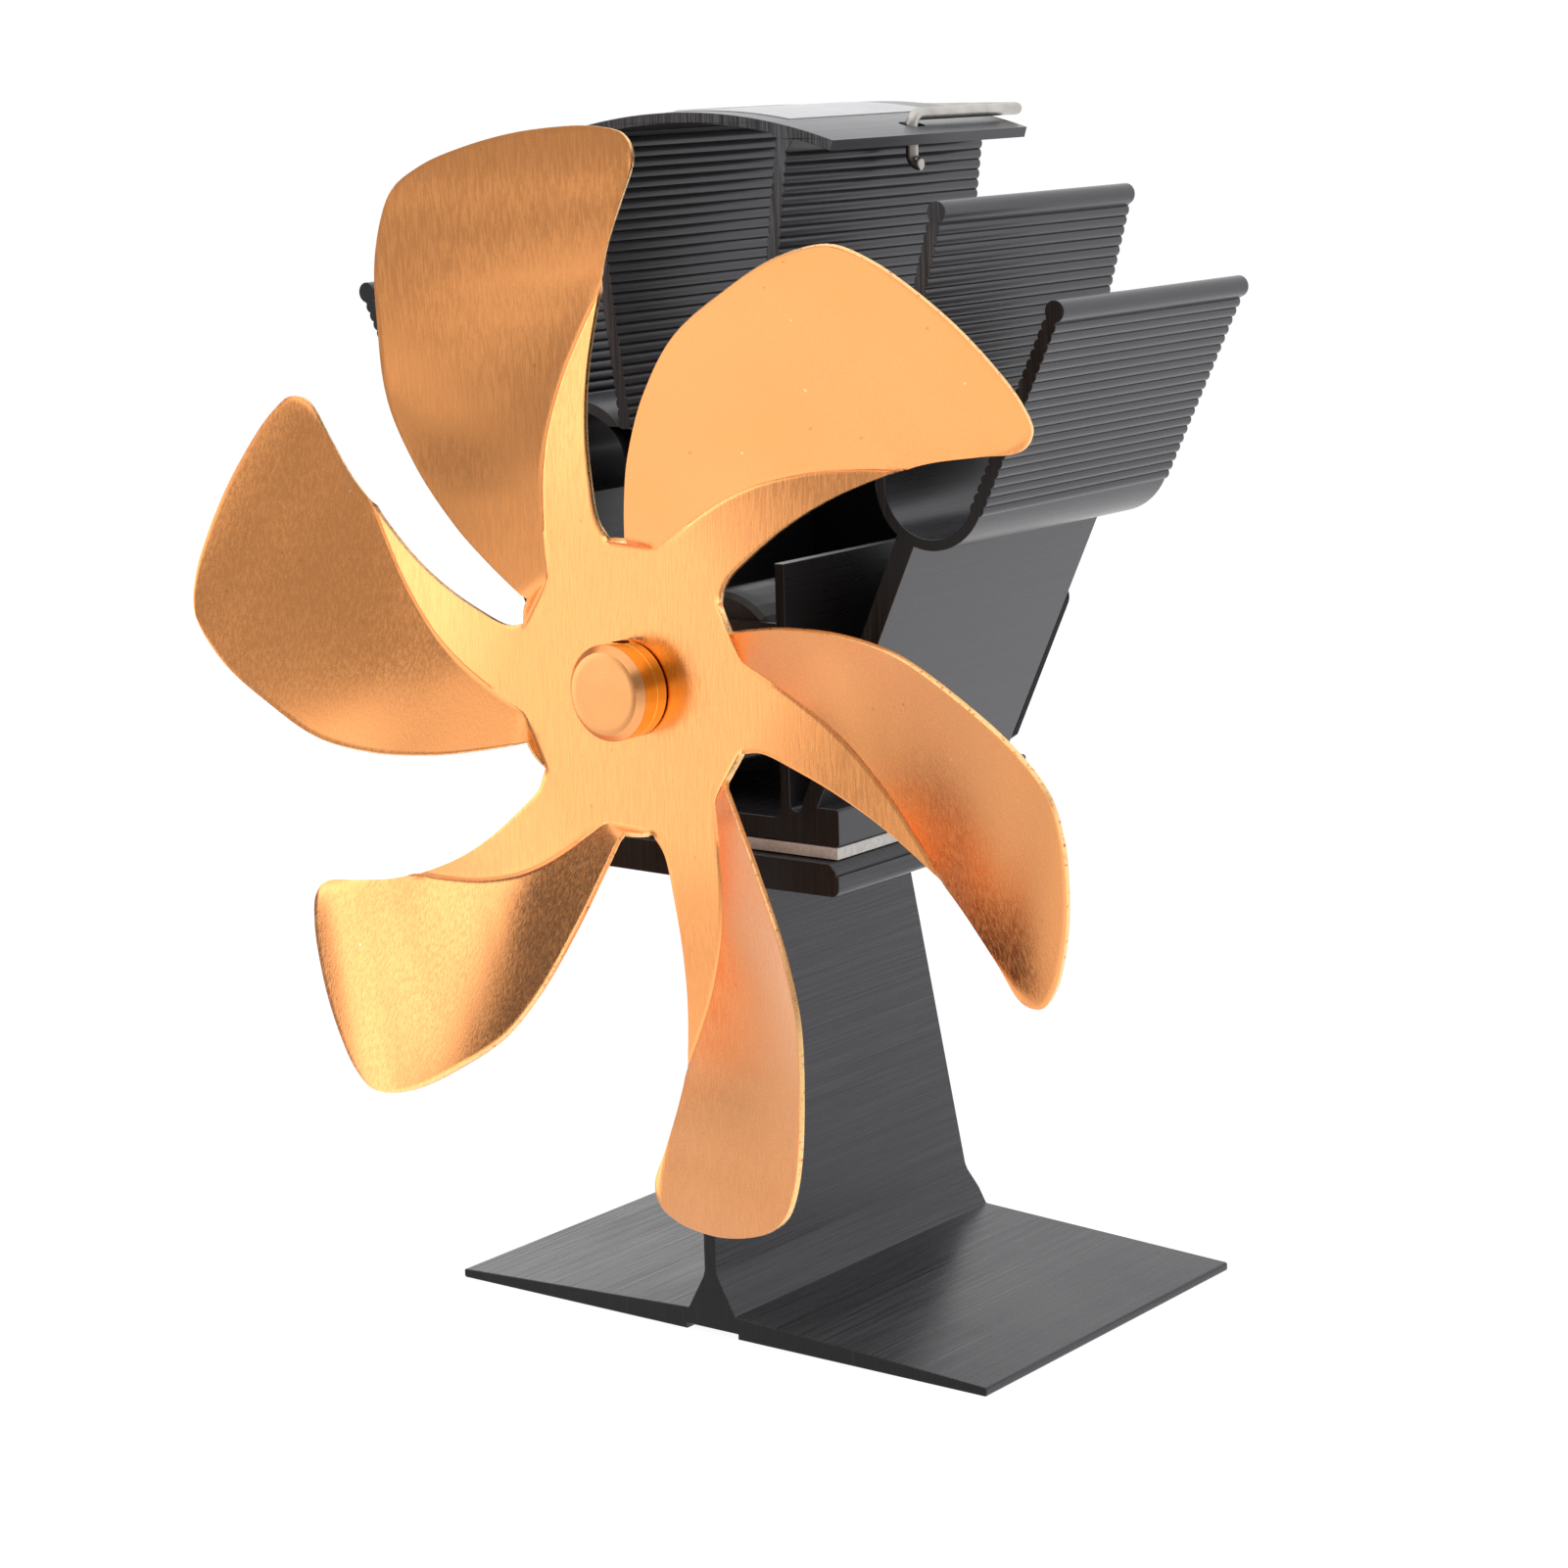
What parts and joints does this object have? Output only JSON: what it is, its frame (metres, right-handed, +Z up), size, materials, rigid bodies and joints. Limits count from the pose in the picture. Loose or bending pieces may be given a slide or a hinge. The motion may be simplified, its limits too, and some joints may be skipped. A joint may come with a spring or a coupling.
{
  "type": "stove fan",
  "caption": "Heat-powered stove fan: bladed gold rotor in front of a splayed black heat sink on a thin-stemmed stand, with a folding wire handle.",
  "frame": {"origin": "on the surface that the stand rests on, at the centre of the whole object's bounding box", "axes": "+Z up; the fan faces -Y and its shaft runs along Y; +X to the right seen from the front"},
  "size_m": [0.1746, 0.101, 0.2001],
  "materials": {
    "black_anodised": "black anodised extrusion, satin, with fine saw and extrusion lines",
    "gold_anodised": "gold anodised sheet with a fine brushed grain",
    "stainless_wire": "drawn stainless wire, satin",
    "plain_steel": "zinc-plated steel",
    "blackened_steel": "blackened",
    "gasket_grey": "pressed fibre sheet, matt",
    "module_white": "white ceramic, matt",
    "magnet_dark": "ferrite, matt",
    "black_nylon": "moulded, matt",
    "sintered_bronze": "sintered, dull",
    "copper_winding": "enamelled copper over a steel core",
    "plain_brass": "stamped",
    "red_insulation": "silicone sleeve",
    "black_insulation": "silicone sleeve"
  },
  "bodies": {
    "frame": {"back_cover": "black_anodised", "black_lead": "black_insulation", "bracket_screw_1": "plain_steel", "bracket_screw_2": "plain_steel", "bracket_screw_3": "plain_steel", "bracket_screw_4": "plain_steel", "clamp_screw_1": "plain_steel", "clamp_screw_2": "plain_steel", "clamp_screw_3": "plain_steel", "clamp_screw_4": "plain_steel", "cover_screw_1": "blackened_steel", "cover_screw_2": "blackened_steel", "cover_screw_3": "blackened_steel", "cover_screw_4": "blackened_steel", "heat_sink": "black_anodised", "insulating_bush_1": "black_nylon", "insulating_bush_2": "black_nylon", "insulating_bush_3": "black_nylon", "insulating_bush_4": "black_nylon", "insulating_gasket": "gasket_grey", "motor_bracket": "blackened_steel", "motor_can": "blackened_steel", "motor_end_cap": "black_nylon", "motor_face_screw_1": "plain_steel", "motor_face_screw_2": "plain_steel", "motor_front_bush": "sintered_bronze", "motor_magnet_1": "magnet_dark", "motor_magnet_2": "magnet_dark", "motor_rear_bush": "sintered_bronze", "motor_terminal_1": "plain_brass", "motor_terminal_2": "plain_brass", "red_lead": "red_insulation", "spring_washer_1": "plain_steel", "spring_washer_2": "plain_steel", "spring_washer_3": "plain_steel", "spring_washer_4": "plain_steel", "stand": "black_anodised", "thermoelectric_module": "module_white"},
    "rotor": {"fan_blades": "gold_anodised", "hub": "gold_anodised", "hub_collar": "gold_anodised", "grub_screw": "blackened_steel", "motor_shaft": "plain_steel", "motor_armature": "copper_winding", "motor_commutator": "copper_winding"},
    "handle": {"bail_handle": "stainless_wire"}
  },
  "joints": [
    {"name": "fan_spin", "type": "hinge", "parent": "frame", "child": "rotor", "pos_m": [0, -0.0385, 0.1113], "axis": [0, 1, 0], "continuous": true},
    {"name": "handle_lift", "type": "hinge", "parent": "frame", "child": "handle", "pos_m": [0, 0.0092, 0.19617], "axis": [1, 0, 0], "range_deg": [0, 90]}
  ]
}
